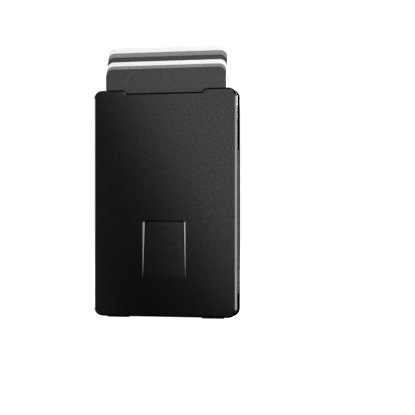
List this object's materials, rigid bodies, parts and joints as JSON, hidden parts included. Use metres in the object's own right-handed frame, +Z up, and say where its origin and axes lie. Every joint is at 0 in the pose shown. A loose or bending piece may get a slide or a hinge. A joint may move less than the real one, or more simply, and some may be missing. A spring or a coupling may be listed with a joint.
{
  "type": "minimalist wallet",
  "caption": "Slim metal card wallet: black plates held together by elastic, with a push tab in front, a bent money clip behind, fanned cards and a folded banknote.",
  "frame": {"origin": "middle of the bottom of the whole object's box, on the underside of the bottom elastic bands that it stands on", "axes": "+Z up along the long side towards the cards' mouth, -Y out of the front face with the push tab, +Y towards the money clip, +X to the right seen from the front"},
  "size_m": [0.0642, 0.0128, 0.119],
  "materials": {
    "black_aluminium": "bead-blasted, black anodised, with a fine grain",
    "inner_aluminium": "satin, dark anodised",
    "clip_steel": "smooth semi-gloss black coating on spring steel",
    "elastic_webbing": "tightly woven elastic webbing, matt black",
    "screw_steel": "turned steel",
    "card_charcoal": "satin laminate, dark grey",
    "card_grey": "satin laminate, mid grey",
    "card_white": "satin laminate, white",
    "banknote_paper": "soft printed paper, folded in four"
  },
  "bodies": {
    "back_half": {"back_plate": "black_aluminium", "back_inner_plate": "inner_aluminium", "back_screws": "screw_steel", "clip_base": "clip_steel", "clip_screws": "screw_steel", "left_elastic": "elastic_webbing", "right_elastic": "elastic_webbing", "bottom_left_elastic": "elastic_webbing", "bottom_right_elastic": "elastic_webbing"},
    "front_half": {"front_plate": "black_aluminium", "front_inner_plate": "inner_aluminium", "front_screws": "screw_steel"},
    "push_tab": {"push_tab": "black_aluminium"},
    "clip_arm": {"clip_arm": "clip_steel"},
    "card_1": {"card_1": "card_charcoal"},
    "card_2": {"card_2": "card_grey"},
    "card_3": {"card_3": "card_white"},
    "card_4": {"card_4": "card_charcoal"},
    "card_5": {"card_5": "card_grey"},
    "card_6": {"card_6": "card_white"},
    "folded_note": {"folded_note": "banknote_paper"}
  },
  "joints": [
    {"name": "plate_spread", "type": "slide", "parent": "back_half", "child": "front_half", "axis": [0, -1, 0], "range_m": [0, 0.0046], "stiffness_N_per_m": 500, "springref_m": -0.003, "deforming": ["left_elastic", "right_elastic", "bottom_left_elastic", "bottom_right_elastic"]},
    {"name": "push_tab_flex", "type": "hinge", "parent": "front_half", "child": "push_tab", "pos_m": [0, -0.0056, 0.01755], "axis": [-1, 0, 0], "range_deg": [0, 1.5], "stiffness_Nm_per_rad": 0.05},
    {"name": "clip_flex", "type": "hinge", "parent": "back_half", "child": "clip_arm", "pos_m": [0, 0.0032, 0.0009], "axis": [-1, 0, 0], "range_deg": [0, 7], "stiffness_Nm_per_rad": 2, "springref_deg": -1.15},
    {"name": "card_1_slide", "type": "slide", "parent": "back_half", "child": "card_1", "axis": [0, 0, 1], "range_m": [-0.0225, 0.0779]},
    {"name": "card_2_slide", "type": "slide", "parent": "back_half", "child": "card_2", "axis": [0, 0, 1], "range_m": [-0.024, 0.0764]},
    {"name": "card_3_slide", "type": "slide", "parent": "back_half", "child": "card_3", "axis": [0, 0, 1], "range_m": [-0.0259, 0.0745]},
    {"name": "card_4_slide", "type": "slide", "parent": "back_half", "child": "card_4", "axis": [0, 0, 1], "range_m": [-0.0281, 0.0723]},
    {"name": "card_5_slide", "type": "slide", "parent": "back_half", "child": "card_5", "axis": [0, 0, 1], "range_m": [-0.0301, 0.0703]},
    {"name": "card_6_slide", "type": "slide", "parent": "back_half", "child": "card_6", "axis": [0, 0, 1], "range_m": [-0.0325, 0.0679]},
    {"name": "note_slide", "type": "slide", "parent": "back_half", "child": "folded_note", "axis": [0, 0, 1], "range_m": [0, 0.062]}
  ]
}
